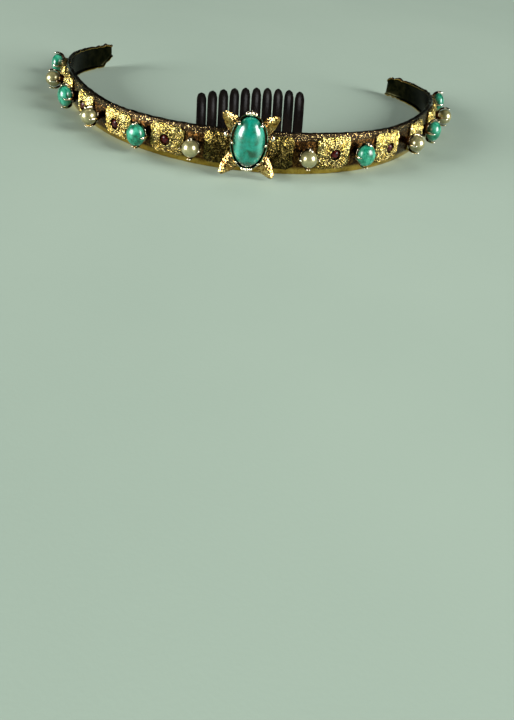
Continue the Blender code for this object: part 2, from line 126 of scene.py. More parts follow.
# The relief column is near 0 down in the recess: painted shade.
BEZEL_ROWS = (  # radius, lift over the crown, lift of the grains, relief
    (2.1, 0.0, 0.0, 0.1),
    (1.98, 0.06, 0.22, 0.25),
    (1.85, 0.1, 0.32, 0.48),
    (1.72, 0.04, 0.2, 0.25),
    (1.62, -0.12, 0.0, 0.05),
    (1.57, -1.05, 0.0, 0.0),
    (1.4, -1.15, 0.0, 0.0),
    (0.3, -1.15, 0.0, 0.0),
)
GARNET_RADIUS = 1.28
GARNET_CULET = -0.5
GARNET_ROWS = (  # share of the radius, out, turn as a part of a side, sides
    (0.56, 0.6, 0.0, 8),
    (0.8, 0.42, 0.5, 8),
    (1.0, 0.12, 0.0, 16),
    (1.0, 0.0, 0.0, 16),
    (0.5, -0.3, 0.5, 8),
    (0.02, -0.48, 0.0, 8),
)
CENTRE = -1.35  # station of the ornament and the comb
STAR_LEVEL = 10.4
STAR_TIP = (7.7, 8.9)
STAR_ROOT = (2.2, 3.0)
LEAF_ROWS = (  # share of the way to the tip, width, thickness, out; wider at the root than the solid
    (0.0, 3.9, 1.3, 3.2),
    (0.3, 4.9, 2.0, 3.8),
    (0.58, 4.2, 1.9, 4.3),
    (0.82, 2.6, 1.5, 4.8),
    (0.97, 1.4, 1.0, 5.15),
    (1.0, 0.8, 0.6, 5.2),
)
OVAL_RISE = 1.25
CABOCHON_HALF = (4.5, 7.2)
CABOCHON_EDGE = ((0.3, 5.0), (0.84, 5.0), (0.91, 5.05), (0.97, 5.3), (1.0, 5.75))  # share, out
CABOCHON_SHOULDER = 5.85
CABOCHON_FRONT = 9.4
CROWN_RIM = (5.4, 8.2, 5.8)
# The relief column is low at the foot and inside, under the cabochon: painted shade.
CROWN_ROWS = (  # half width, half height, out, height of the scallops, depth of the flutes, relief
    (0.3, 0.3, 1.9, 0.0, 0.0, 0.1),
    (3.85, 6.05, 1.9, 0.0, 0.0, 0.1),
    (4.1, 6.3, 2.1, 0.0, 0.0, 0.2),
    (4.4, 6.75, 2.8, 0.0, 0.1, 0.25),
    (4.75, 7.25, 3.5, 0.0, 0.22, 0.3),
    (5.1, 7.75, 4.6, 0.0, 0.22, 0.35),
    (5.3, 8.05, 5.3, 0.2, 0.12, 0.45),
    (5.4, 8.2, 5.8, 0.4, 0.0, 0.7),
    (5.28, 8.08, 5.95, 0.4, 0.0, 0.8),
    (5.1, 7.9, 5.8, 0.4, 0.0, 0.4),
    (4.95, 7.72, 5.3, 0.2, 0.0, 0.05),
    (4.85, 7.55, 4.7, 0.0, 0.0, 0.0),
    (0.3, 0.3, 4.65, 0.0, 0.0, 0.0),
)
OVAL_CLAW_BEARINGS = (0, 180, 48, 132, 228, 312)
OVAL_CLAW_ROWS = (  # inset from the crown's edge, out
    (0.25, 4.6),
    (0.12, 6.0),
    (0.28, 7.0),
    (0.6, 7.6),
    (1.0, 8.0),
)
RIM_BEADS = (  # bearing, radius
    (90, 0.85),
    (78, 0.6),
    (102, 0.6),
    (270, 0.75),
    (258, 0.6),
    (282, 0.6),
)
SIDE_BEAD = 0.85
SIDE_BEAD_AT = (6.6, 0.9, 3.4)
SIDE_ARM_ROOT = 3.2
POST_LEVEL = 9.4
POST_ROWS = (  # radius, out
    (1.2, 2.2),
    (1.2, -1.3),
    (1.5, -1.36),
    (1.6, -1.45),
    (1.6, -1.75),
    (1.4, -1.9),
    (0.4, -1.95),
)
TEETH = 10
TOOTH_PITCH = 3.4
TOOTH_TIP_BACK = 26.0
TOOTH_TIP_LEVEL = 17.3
TOOTH_TIP_SLOPE = 0.112
TOOTH_TIP_ARCH = 0.006
TOOTH_BOW = 1.4
TOOTH_ROWS = (  # share of the length, width, thickness
    (0.0, 2.8, 1.9),
    (0.2, 3.0, 1.85),
    (0.5, 3.05, 1.75),
    (0.84, 3.0, 1.55),
    (0.95, 2.3, 1.2),
    (0.985, 1.5, 0.9),
    (1.0, 0.6, 0.5),
)
TOOTH_ROOT_OUT = -3.6
SPINE_OUT = -3.9
SPINE_LEVEL = 5.6
SPINE_SIZE = (2.2, 3.4)
SPINE_END = 21.8
CLIP_STATIONS = (19.2, 21.3)  # measured from the centre
CLIP_WALL = 0.8
CLIP_FRONT = -0.6

# The band's fine steps, and its relief values, read by its material.
END_RUN = 10.0  # length of either end that has closer steps
LIP_ROUND = 0.22
RAGGED_SIZES = (2.6, 1.1)
PLATE_TOP, PLATE_MIDDLE, PLATE_LOW, PLATE_INSIDE = 1.0, 0.7, 0.4, 0.0

# Fine relief of the panels: a net of ridges over shallow petals.
PANEL_POINTS = 176
PANEL_RINGS = 40
NET_CELLS = 42
NET_RING = 4.4
NET_STEP = 0.6
NET_REACH = 9.5
NET_JITTER = 0.24
NET_RIDGE = 0.17
NET_DEPTH = 0.36
PETALS = 12
PETAL_DEPTH = 0.14
PLAIN_SEED = 31

# Fine relief of the leaves.
BARK_RING = 2.1
BARK_RUN = 6.0
BARK_SIZES = (0.55, 0.24)
BARK_DEPTH = 0.2

# Tones of gold are bright, deep, and a dark tone for dirt and painted shade; tones of turquoise are
# base, light, dark and vein.
PANEL_TONES = ((1.0, 0.86, 0.34), (0.84, 0.62, 0.13), (0.03, 0.012, 0.002))
# Painted shade: the plain panels by the centre take darker tones than the panels with stones.
PLAIN_SHADED_TONES = ((0.48, 0.37, 0.1), (0.12, 0.085, 0.017), (0.004, 0.002, 0.001))
LEAF_TONES = ((0.98, 0.72, 0.28), (0.48, 0.26, 0.05), (0.05, 0.014, 0.004))
TURQUOISE_TONES = (
    (0.005, 0.17, 0.09),
    (0.045, 0.31, 0.19),
    (0.002, 0.065, 0.03),
    (0.003, 0.015, 0.006),
)
CABOCHON_TONES = (
    (0.0, 0.145, 0.09),
    (0.004, 0.2, 0.14),
    (0.0, 0.05, 0.022),
    (0.001, 0.06, 0.008),
)
# Painted reflection: a pale upright band along either long side of the cabochon.
SIDE_REFLECTION_TONE = (0.09, 0.46, 0.33)
SIDE_REFLECTION_AT = 0.7  # share of the dome's half width
SIDE_REFLECTION_SPREAD = 0.16

FLOOR_REACH = 3.0
FLOOR_TILES = 8
CAMERA_AT = (-8.9, -221.3, 89.6)
CAMERA_AHEAD = (0.0664, 0.8133, -0.578)
CAMERA_UP = (-0.0806, 0.5818, 0.8093)
CAMERA_SENSOR = 36.0
CAMERA_LENS = 39.0
CAMERA_NEAR = 0.01
SIDE_LIGHTS = (  # name, shares of the camera's right and ahead directions, distance, size, power
    ("left_box", -0.866, -0.5, 2.0, (1.1, 1.2), 96),
    ("right_box", 0.866, -0.5, 2.0, (1.1, 1.2), 82),
)
HIGH_LIGHT = ("high_soft", (0.1, 0.55, 1.0), 2.2, (0.5, 0.5), 4)
WORLD_TONE = (0.30, 0.36, 0.31, 1)
WORLD_STRENGTH = 0.05


def plan(station):
    """Points of the face line and their headings, for one station or an array of them."""
    side = np.where(np.asarray(station) < 0, -1.0, 1.0)
    far = np.abs(station)
    x, y, heading = np.zeros(far.shape), np.zeros(far.shape), np.zeros(far.shape)
    start = 0.0
    for radius, end in zip(ARC_RADII, ARC_ENDS):
        turn = (np.clip(far, start, end) - start) / radius
        x = x + radius * (np.sin(heading + turn) - np.sin(heading))
        y = y + radius * (np.cos(heading) - np.cos(heading + turn))
        heading = heading + turn
        start = end
    return side * x, y, side * heading


# The solids are centred over the origin; SHIFT is how far that moved the front of the band.
SHIFT = np.zeros(3)


def on_band(station, out, level):
    """Points at a station of the band, this far out of its face line and at this level."""
    x, y, heading = plan(station)
    parts = (x + out * np.sin(heading), y - out * np.cos(heading), level + 0 * x)
    return np.stack(np.broadcast_arrays(*parts), -1) + SHIFT


first_pearl = (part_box("pearl_right_1")[0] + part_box("pearl_right_1")[1]) / 2 / MM
SHIFT = np.array(first_pearl) - on_band(RIGHT_STONES[0], PEARL_OUT, 0.0)
SHIFT[2] = 0.0


def column(rows, number):
    """One column of a table."""
    return [row[number] for row in rows]


def band_row(station):
    """Height, lower edge and out of the lips of the band at each station."""
    return [np.interp(station, column(BAND_ROWS, 0), column(BAND_ROWS, i)) for i in (1, 2, 3)]


def face_out(station, level):
    """How far out the band's face stands at a level."""
    height, low, lips = band_row(station)
    share = np.clip(np.abs(2 * (level - low) / height - 1), 0, 1)
    start = lips + LIP_WIDTH
    return start + (FACE_OUT - start) * (1 - share**BULGE) ** (1 / BULGE)


def stone_level(station):
    """Level of the claw-set stones' centres."""
    height, low, _ = band_row(station)
    return low + height * STONE_LEVEL


def panel_level(station):
    """Level of the panels' middles."""
    height, low, _ = band_row(station)
    return low + height * PANEL_LEVEL


def local_frame(station, level):
    """A function that takes points along, up and out from a station's face line into the row frame."""
    heading = plan(station)[2]
    along = np.array((math.cos(heading), math.sin(heading), 0))
    up = np.array((0.0, 0.0, 1.0))
    out = np.cross(along, up)
    base = on_band(station, 0.0, level)
    return lambda points: base + np.asarray(points) @ np.stack((along, up, out))


class Batch:
    """Collects closed grids of points and makes one mesh object of them."""

    def __init__(self):
        self.points, self.faces, self.relief, self.count = [], [], [], 0

    def add(self, points, faces, relief):
        """Adds a closed shape, turned so that its faces look outward."""
        volume = 0.0
        for corners in ((0, 1, 2), (0, 2, 3)):
            picked = [[face[i] for i in corners] for face in faces if len(face) > corners[2]]
            if picked:
                edges = points[np.array(picked)]
                volume += np.einsum("ij,ij->i", edges[:, 0], np.cross(edges[:, 1], edges[:, 2])).sum()
        if volume < 0:
            faces = [face[::-1] for face in faces]
        self.points.append(points)
        self.faces += [tuple(int(i) + self.count for i in face) for face in faces]
        self.relief.append(relief)
        self.count += len(points)

    def grid(self, points, relief=0.5, wrap_rows=False, strip_ends=False):
        """Rows of points, each row closed on itself. The end rows are closed by fans, by strips
        between the two halves of the row, or by joining the last row to the first."""
        rows, columns = points.shape[:2]
        relief = np.broadcast_to(relief, (rows, columns))
        index = np.arange(rows * columns).reshape(rows, columns)
        lower = index if wrap_rows else index[:-1]
        upper = np.roll(index, -1, 0) if wrap_rows else index[1:]
        quads = np.stack((lower, np.roll(lower, -1, 1), np.roll(upper, -1, 1), upper), -1)
        faces = quads.reshape(-1, 4).tolist()
        flat, values = points.reshape(-1, 3), relief.reshape(-1)
        if strip_ends:
            for j in range(columns // 2 - 1):
                pair = [j, j + 1, columns - 2 - j, columns - 1 - j]
                faces.append(index[0, pair[::-1]].tolist())
                faces.append(index[-1, pair].tolist())
        elif not wrap_rows:
            flat = np.concatenate((flat, points[:1].mean(1), points[-1:].mean(1)))
            values = np.concatenate((values, (relief[0].mean(), relief[-1].mean())))
            for j in range(columns):
                k = (j + 1) % columns
                faces.append([index[0, k], index[0, j], rows * columns])
                faces.append([index[-1, j], index[-1, k], rows * columns + 1])
        self.add(flat, faces, values)

    def make(self, name, look, slot, *nodes, sharp=None):
        """Makes the object, smooth but for edges sharper than this many degrees."""
        mesh = bpy.data.meshes.new(name)
        mesh.from_pydata((np.concatenate(self.points) * MM).tolist(), [], self.faces)
        values = mesh.attributes.new("relief", "FLOAT", "POINT")
        values.data.foreach_set("value", np.concatenate(self.relief).astype(np.float32))
        mesh.shade_smooth()
        if sharp:
            mesh.set_sharp_from_angle(angle=math.radians(sharp))
        place(name, mesh, look, slot, *nodes)


def place(name, mesh, look, slot, *nodes):
    """Puts a mesh in the scene on the part's body, in place of the nodes named."""
    mesh.materials.append(look)
    made = bpy.data.objects.new(name, mesh)
    bpy.context.scene.collection.objects.link(made)
    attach(made, "root")
    if nodes:
        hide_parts(*nodes)


def turn_angles(count, phase=0.0):
    """Even angles round a circle, shifted by a part of their step."""
    return (np.arange(count) + phase) * math.tau / count


def sweep(path, widths, depths, side, sides=12, square=2.6):
    """Rows of points round a path; widths lie along side. A larger square makes the section boxier."""
    ahead = np.gradient(path, axis=0)
    ahead /= np.linalg.norm(ahead, axis=1, keepdims=True)
    side = np.broadcast_to(np.asarray(side, float), path.shape)
    normal = np.cross(side, ahead)
    normal /= np.linalg.norm(normal, axis=1, keepdims=True)
    across = np.cross(ahead, normal)
    angles = turn_angles(sides, 0.5)
    c, s = np.cos(angles), np.sin(angles)
    size = (np.abs(c) ** square + np.abs(s) ** square) ** (-1 / square)
    wide = np.asarray(widths)[:, None] / 2 * (size * c)
    deep = np.asarray(depths)[:, None] / 2 * (size * s)
    return path[:, None] + across[:, None] * wide[..., None] + normal[:, None] * deep[..., None]


def curve_through(points, count):
    """A smooth run of points through a few given ones."""
    points = np.asarray(points, float)
    ends = np.concatenate((2 * points[:1] - points[1:2], points, 2 * points[-1:] - points[-2:-1]))
    made = []
    for t in np.linspace(0, len(points) - 1 - 1e-6, count):
        i = int(t)
        f = t - i
        a, b, c, d = ends[i : i + 4]
        cubic = (2 * a - 5 * b + 4 * c - d) * f**2 + (3 * b - a - 3 * c + d) * f**3
        made.append(0.5 * (2 * b + (c - a) * f + cubic))
    return np.array(made)


def eased(share, rows, number, steps=9):
    """A column of a table, read at each share and smoothed over a few steps."""
    values = np.interp(share, column(rows, 0), column(rows, number))
    padded = np.pad(values, steps // 2, mode="edge")
    return np.convolve(padded, np.full(steps, 1 / steps), "valid")


def turned(profile, sides, half=(1.0, 1.0)):
    """Rows of points from a profile of radius and height, stretched to an oval."""
    angles = turn_angles(sides)
    radius = np.array(column(profile, 0))[:, None]
    level = np.array(column(profile, 1))[:, None] + 0 * angles
    return np.stack((radius * half[0] * np.cos(angles), radius * half[1] * np.sin(angles), level), -1)


def ball(centre, radius, sides, rows):
    """Rows of points of a ball, its poles in and out."""
    turns = np.linspace(0, math.pi, rows + 2)[1:-1]
    profile = [(radius * math.sin(t), -radius * math.cos(t)) for t in turns]
    return turned(profile, sides) + np.asarray(centre, float)


def hills(points, size, seed=0.0):
    """Smooth noise about 0 at each point, with hills about this size."""
    flat = points.reshape(-1, 3) / size + seed
    return np.array([noise.noise(p) for p in flat.tolist()]).reshape(points.shape[:-1])


def add_node(tree, kind, inputs=None, **settings):
    """A shader node with its settings, its inputs linked to sockets or set to values."""
    made = tree.nodes.new("ShaderNode" + kind)
    for name, value in settings.items():
        setattr(made, name, value)
    for name, value in (inputs or {}).items():
        socket = made.inputs[name]
        if isinstance(value, bpy.types.NodeSocket):
            tree.links.new(value, socket)
        else:
            socket.default_value = value
    return made


class Look:
    """A Principled material under construction, with short ways to add textures to it."""

    def __init__(self, name, fixed):
        self.material = bpy.data.materials.new(name)
        self.material.use_nodes = True
        self.tree = self.material.node_tree
        self.shader = self.tree.nodes["Principled BSDF"]
        for socket, value in fixed.items():
            self.shader.inputs[socket].default_value = value
        self.place = add_node(self.tree, "TexCoord").outputs["Object"]

    def noise(self, size, detail=3.0, rough=0.5, distortion=0.0, stretch=None):
        """Noise with features about this many millimetres across."""
        place = self.place
        if stretch:
            mapping = {"Vector": place, "Scale": stretch}
            place = add_node(self.tree, "Mapping", mapping).outputs["Vector"]
        sizes = {"Vector": place, "Scale": 1 / (size * MM), "Detail": detail}
        sizes |= {"Roughness": rough, "Distortion": distortion}
        return add_node(self.tree, "TexNoise", sizes).outputs["Fac"]

    def relief(self):
        """The relief value kept on each point of the mesh, 0 to 1; on some parts it also marks painted
        shade, and on the cabochon a painted reflection.
        """
        return add_node(self.tree, "Attribute", attribute_name="relief").outputs["Fac"]

    def ramp(self, factor, *stops):
        """A ramp through stops of position and colour, or position and grey value."""
        made = add_node(self.tree, "ValToRGB", {"Fac": factor})
        elements = made.color_ramp.elements
        while len(elements) < len(stops):
            elements.new(0.5)
        for element, (position, colour) in zip(elements, stops):
            element.position = position
            colour = (colour,) * 3 if isinstance(colour, float) else colour
            element.color = (*colour, 1)
        return made.outputs["Color"]

    def mix(self, factor, first, second):
        """A mix of two colours."""
        made = self.tree.nodes.new("ShaderNodeMix")
        made.data_type = "RGBA"
        for number, value in ((0, factor), (6, first), (7, second)):
            socket = made.inputs[number]
            if isinstance(value, bpy.types.NodeSocket):
                self.tree.links.new(value, socket)
            else:
                socket.default_value = value if isinstance(value, float) else (*value, 1)
        return made.outputs[2]

    def scale(self, value, low, high):
        """A value of 0 to 1 brought between two others."""
        ends = {"Value": value, "To Min": low, "To Max": high}
        return add_node(self.tree, "MapRange", ends).outputs["Result"]

    def math(self, operation, a, b):
        """One operation on two values, by the node's own name for it."""
        return add_node(self.tree, "Math", {0: a, 1: b}, operation=operation).outputs[0]

    def bump(self, height, depth, below=None):
        """Bump of this many millimetres; below is a bump already made."""
        inputs = {"Height": height, "Distance": depth * MM}
        if below is not None:
            inputs["Normal"] = below
        return add_node(self.tree, "Bump", inputs).outputs["Normal"]

    def wire(self, socket, value):
        """Links a value to a socket of the shader."""
        self.tree.links.new(value, self.shader.inputs[socket])


def gold(name, tones, rough=(0.19, 0.34)):
    """Gold-tone plate: patches of two tones, dark where the relief value is low and in pits, finely
    grained. The low relief values are partly real hollows and partly painted shade.
    """
    look = Look(name, {"Metallic": 1.0})
    bright, deep, dirt_and_shade = tones
    patches = look.ramp(look.noise(2.4, 4), (0.36, deep), (0.64, bright))
    # Dark tone where the relief value is low: the real hollows of the net, and on the panels also
    # painted shade low down and round the middle.
    low = look.ramp(look.relief(), (0.26, 1.0), (0.6, 0.0))
    speck = look.ramp(look.noise(0.4, 3, 0.6), (0.36, 0.6), (0.56, 1.0))
    pits = look.ramp(look.noise(0.36, 3, 0.6), (0.4, 0.92), (0.46, 0.0))
    dark = look.math("MAXIMUM", look.math("MULTIPLY", low, speck), pits)
    look.wire("Base Color", look.mix(dark, patches, dirt_and_shade))
    look.wire("Roughness", look.scale(look.noise(0.9, 4, 0.6), *rough))
    soft = look.bump(look.noise(1.3, 2), 0.05)
    look.wire("Normal", look.bump(look.noise(0.24, 4, 0.65), 0.026, soft))
    return look.material


def plate_gold():
    """The band's own plate: smooth gold low down; in the middle painted shade, dark brown; on top a
    painted dark reflection with painted glints; inside painted shade.
    """
    look = Look("gold_band", {"Metallic": 1.0})
    relief = look.relief()
    tone = look.ramp(look.noise(3.4, 4), (0.3, (0.42, 0.26, 0.04)), (0.72, (0.72, 0.5, 0.11)))
    stain = look.ramp(look.noise(0.9, 5, 0.7), (0.5, 0.0), (0.66, 0.55))
    stained = look.mix(stain, tone, (0.14, 0.06, 0.012))
    # Painted shade: the middle of the plate, seen between the panels and behind the settings, is dark
    # brown.
    brown, light_brown = (0.02, 0.009, 0.003), (0.25, 0.12, 0.03)
    between = look.ramp(look.noise(0.8, 4, 0.7), (0.46, brown), (0.7, light_brown))
    middle = look.ramp(relief, (PLATE_LOW + 0.08, 0.0), (PLATE_MIDDLE - 0.06, 1.0))
    top = look.ramp(relief, (PLATE_MIDDLE + 0.08, 0.0), (PLATE_TOP - 0.1, 1.0))
    # Painted reflection: the top of the plate is near black, as of dark surroundings reflected, with
    # pale specks as painted glints.
    black, speck = (0.014, 0.009, 0.004), (0.84, 0.64, 0.3)
    black_and_glints = look.ramp(look.noise(0.4, 4, 0.65), (0.58, black), (0.68, speck))
    shown = look.mix(top, look.mix(middle, stained, between), black_and_glints)
    # Painted shade: the inside of the plate, facing the head, is near black in patches.
    inside = look.ramp(relief, (0.1, 1.0), (0.3, 0.0))
    dull, lighter = (0.003, 0.004, 0.0015), (0.022, 0.02, 0.008)
    inside_shade = look.ramp(look.noise(2.0, 4, 0.6), (0.4, dull), (0.75, lighter))
    look.wire("Base Color", look.mix(inside, shown, inside_shade))
    look.wire("Roughness", look.scale(look.noise(0.8, 5, 0.7), 0.12, 0.32))
    wave = look.bump(look.noise(2.2, 2, stretch=(1, 1, 0.5)), 0.06)
    pits = look.noise(0.5, 4, 0.7, 0.8)
    rough_top = look.bump(look.math("MULTIPLY", pits, look.scale(middle, 0.1, 1.0)), 0.16, wave)
    scratch = look.noise(0.28, 3, 0.7, 1.2, (0.35, 0.35, 1))
    look.wire("Normal", look.bump(scratch, 0.012, rough_top))
    return look.material


def claw_gold():
    """Bright pale gold of claws and beads, dark where the relief value is low: painted shade at the
    feet of claws and cups, under and behind the stones, and under the cabochon.
    """
    look = Look("bright_claws", {"Metallic": 1.0})
    tone = look.ramp(look.noise(0.8, 3), (0.35, (0.8, 0.66, 0.4)), (0.65, (0.95, 0.88, 0.72)))
    low = look.ramp(look.relief(), (0.2, 1.0), (0.7, 0.0))
    look.wire("Base Color", look.mix(low, tone, (0.07, 0.035, 0.015)))
    look.wire("Roughness", look.scale(look.noise(0.5, 4), 0.1, 0.26))
    look.wire("Normal", look.bump(look.noise(0.4, 4, 0.6), 0.02))
    return look.material


def pearl_look():
    """Imitation pearl: cream lacquer, greener and darker in cloudy patches, with a thin clear coat."""
    fixed = {"Metallic": 0.6, "Coat Weight": 1.0, "Coat Roughness": 0.16, "Coat IOR": 1.7}
    look = Look("pearl_cream", fixed)
    cream = ((0.3, (0.2, 0.19, 0.075)), (0.55, (0.33, 0.31, 0.14)), (0.8, (0.5, 0.47, 0.27)))
    look.wire("Base Color", look.ramp(look.noise(2.2, 4, 0.6), *cream))
    look.wire("Roughness", look.scale(look.noise(0.7, 4), 0.26, 0.38))
    look.wire("Normal", look.bump(look.noise(0.5, 4, 0.6), 0.008))
    return look.material


def turquoise_look(name, tones, cloud_size, coat):
    """Polished turquoise: clouds, darker patches and fine veins, and a painted pale reflection where
    the relief value is high, which only the cabochon's long sides have.
    """
    look = Look(name, {"Coat Weight": coat, "Coat Roughness": 0.14})
    base, light, dark, vein = tones
    clouds = look.ramp(look.noise(cloud_size, 4, 0.6, 0.5), (0.36, dark), (0.48, base), (0.62, light))
    patches = look.ramp(look.noise(cloud_size * 1.5, 3, 0.5, 0.8), (0.55, 0.0), (0.66, 0.7))
    tone = look.mix(patches, clouds, dark)
    ridges = look.ramp(look.noise(2.4, 5, 0.6, 1.4), (0.485, 0.0), (0.5, 0.8), (0.515, 0.0))
    broken = look.ramp(look.noise(1.5, 2), (0.5, 0.0), (0.62, 1.0))
    veined = look.mix(look.math("MULTIPLY", ridges, broken), tone, vein)
    # Painted reflection: pale bands where the relief value is high.
    reflection_mask = look.ramp(look.relief(), (0.5, 0.0), (1.0, 0.75))
    sides = look.math("MULTIPLY", reflection_mask, look.scale(clouds, 0.5, 1.0))
    look.wire("Base Color", look.mix(sides, veined, SIDE_REFLECTION_TONE))
    look.wire("Roughness", look.scale(look.noise(0.9, 4), 0.2, 0.36))
    look.wire("Normal", look.bump(look.noise(0.8, 4, 0.6), 0.015))
    return look.material


def garnet_look():
    """Red stone, so dark that only its edges and reflections show."""
    look = Look("red_stone", {"Specular IOR Level": 0.35})
    tone = look.ramp(look.noise(0.9, 2), (0.4, (0.008, 0.001, 0.001)), (0.65, (0.06, 0.003, 0.003)))
    look.wire("Base Color", tone)
    look.wire("Roughness", look.scale(look.noise(0.3, 3), 0.06, 0.16))
    return look.material


def comb_look():
    """Black plastic, lightly scratched along the teeth."""
    look = Look("comb_black", {"Specular IOR Level": 0.12})
    black, brown = (0.002, 0.0015, 0.0015), (0.007, 0.005, 0.004)
    look.wire("Base Color", look.ramp(look.noise(6.0, 3), (0.3, black), (0.75, brown)))
    look.wire("Roughness", look.scale(look.noise(1.2, 5, 0.65), 0.16, 0.34))
    scratch = look.bump(look.noise(0.5, 3, 0.6, stretch=(1, 0.12, 0.12)), 0.01)
    look.wire("Normal", look.bump(look.noise(2.5, 2), 0.05, scratch))
    return look.material


def floor_look():
    """Matt pale green-grey board with faint clouds."""
    look = Look("pale_floor", {})
    darker, paler = (0.283, 0.366, 0.294), (0.315, 0.4, 0.322)
    look.wire("Base Color", look.ramp(look.noise(160.0, 4), (0.3, darker), (0.7, paler)))
    look.wire("Roughness", look.scale(look.noise(3.0, 4), 0.75, 0.9))
    look.wire("Normal", look.bump(look.noise(0.8, 3), 0.02))
    return look.material


def band_shell(batch):
    """The stamped plate: a bulging face with turned-back uneven lips, open behind, edges rounded."""
    left, right = BAND_ROWS[0][0], BAND_ROWS[-1][0]
    left_run = np.linspace(left, left + END_RUN, 28)[:-1]
    middle_run = np.linspace(left + END_RUN, right - END_RUN, 230)
    right_run = np.linspace(right - END_RUN, right, 28)[1:]
    stations = np.concatenate((left_run, middle_run, right_run))
    height, low, lips = (value[:, None] for value in band_row(stations))
    start = lips + LIP_WIDTH
    turn = np.linspace(-math.pi / 2, math.pi / 2, 36)
    rise = np.sign(np.sin(turn)) * np.abs(np.sin(turn)) ** (2 / BULGE)
    line = stations[:, None] * (1.0, 0.0, 0.0)
    ragged = hills(line, RAGGED_SIZES[0]) + 0.5 * hills(line, RAGGED_SIZES[1], 5.0)
    ragged = (ragged * np.interp(np.abs(stations), *zip(*RAGGED_ROWS)))[:, None]
    sides = []
    for inset, rounding in ((0.0, LIP_ROUND), (WALL, -LIP_ROUND)):
        out = start + (FACE_OUT - inset - start) * np.abs(np.cos(turn)) ** (2 / BULGE)
        level = low + height / 2 + (height / 2 - inset) * rise
        lip_outs = (lips, lips + LIP_ROUND * 0.3, lips + LIP_ROUND)
        lip_levels = [inset + rounding * share for share in (1.0, 0.3, 0.0)]
        outs = [*lip_outs, out, *lip_outs[::-1]]
        lower = [low + up for up in lip_levels]
        upper = [low + height - up for up in lip_levels[::-1]]
        level = np.concatenate([*lower, level, *upper], 1)
        edge = np.clip((np.abs(2 * (level - low) / height - 1) - 0.72) / 0.28, 0, 1)
        dents = np.where(level > low + height / 2, ragged, np.abs(ragged))
        sides.append((np.concatenate(outs, 1), level + edge * dents))
    (outer, outer_level), (inner, inner_level) = sides
    out = np.concatenate((outer, inner[:, ::-1]), 1)
    level = np.concatenate((outer_level, inner_level[:, ::-1]), 1)
    points = on_band(stations[:, None] + 0 * out, out, level)
    # The relief values mark zones that the plate's material colours: low, middle and top outside, and
    # the inside. The middle and inside carry painted shade, the top a painted reflection.
    share = (outer_level - low) / height
    values = (PLATE_LOW, PLATE_MIDDLE, PLATE_MIDDLE, PLATE_TOP)
    shown = np.interp(share, (0.1, 0.24, 0.78, 0.88), values)
    relief = np.concatenate((shown, PLATE_INSIDE + 0 * inner), 1)
    batch.grid(points, relief, strip_ends=True)


def lace(radius, angle, seed):
    """Height, 0 to 1, of a net of curling ridges that spread from the middle of a panel."""
    rng = np.random.default_rng(seed)
    swirl = angle + 0.1 * np.sin(2.3 * radius + seed) + 0.05 * np.sin(5 * angle + radius * 1.7)
    rise = 0.95 * radius + 0.18 * np.sin(9 * angle + seed)
    width = NET_RING * math.tau
    sites = [
        ((j + 0.5 * (i % 2)) * width / NET_CELLS, at)
        for i, at in enumerate(np.arange(2 * NET_STEP, NET_REACH, NET_STEP))
        for j in range(NET_CELLS)
    ]
    sites = np.array(sites) + rng.uniform(-NET_JITTER, NET_JITTER, (len(sites), 2))
    spread = np.mod(NET_RING * swirl, width).ravel()
    gap = np.abs(spread[:, None] - sites[None, :, 0])
    gap = np.minimum(gap, width - gap)
    distance = np.hypot(gap, rise.ravel()[:, None] - sites[None, :, 1])
    nearest = np.partition(distance, 1, axis=1)[:, :2]
    return np.exp(-(((nearest[:, 1] - nearest[:, 0]) / NET_RIDGE) ** 2)).reshape(radius.shape)


